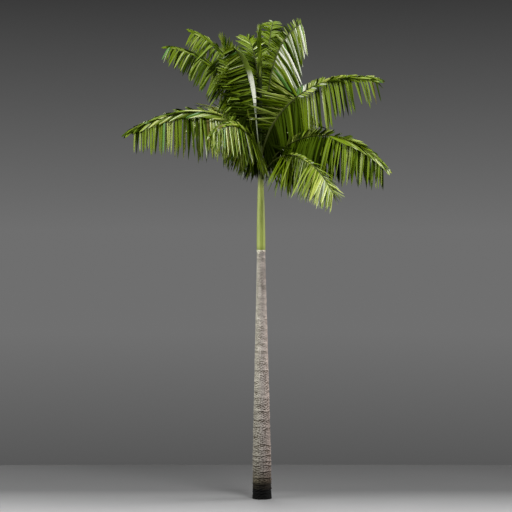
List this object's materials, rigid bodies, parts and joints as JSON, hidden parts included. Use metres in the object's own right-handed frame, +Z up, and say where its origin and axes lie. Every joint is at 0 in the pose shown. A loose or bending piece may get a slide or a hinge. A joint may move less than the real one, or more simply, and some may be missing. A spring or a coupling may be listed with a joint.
{
  "type": "imperial palm tree",
  "caption": "Tall imperial palm with a grey ringed tapering trunk, a smooth green crownshaft, an upright spear leaf and arching feather fronds, rooted at a flat ground cut.",
  "frame": {"origin": "middle of the flat cut under the trunk, at ground level", "axes": "+Z up along the trunk; -Y towards the viewer of the picture; +X to that viewer's right"},
  "size_m": [6.561, 5.1134, 12.147],
  "materials": {
    "bark": "rough grey bark with ring scars",
    "sheath": "smooth waxy green leaf sheath",
    "leaf": "glossy green leaflets"
  },
  "bodies": {
    "root": {"trunk": "bark", "crownshaft": "sheath", "spear_leaf": "leaf", "frond_right_low_inner": "leaf", "frond_right_low_outer": "leaf", "frond_front_right_low_inner": "leaf", "frond_front_right_low_outer": "leaf", "frond_back_right_low_inner": "leaf", "frond_back_right_low_outer": "leaf", "frond_back_left_low_inner": "leaf", "frond_back_left_low_outer": "leaf", "frond_back_low_inner": "leaf", "frond_back_low_outer": "leaf", "frond_front_left_low_inner": "leaf", "frond_front_left_low_outer": "leaf", "frond_left_low_inner": "leaf", "frond_left_low_outer": "leaf", "frond_right_middle_inner": "leaf", "frond_right_middle_outer": "leaf", "frond_left_middle": "leaf", "frond_right_high": "leaf", "frond_front_high": "leaf", "frond_left_high": "leaf", "frond_back_left_high": "leaf", "frond_back_high": "leaf", "frond_front_left_high": "leaf"}
  },
  "joints": []
}
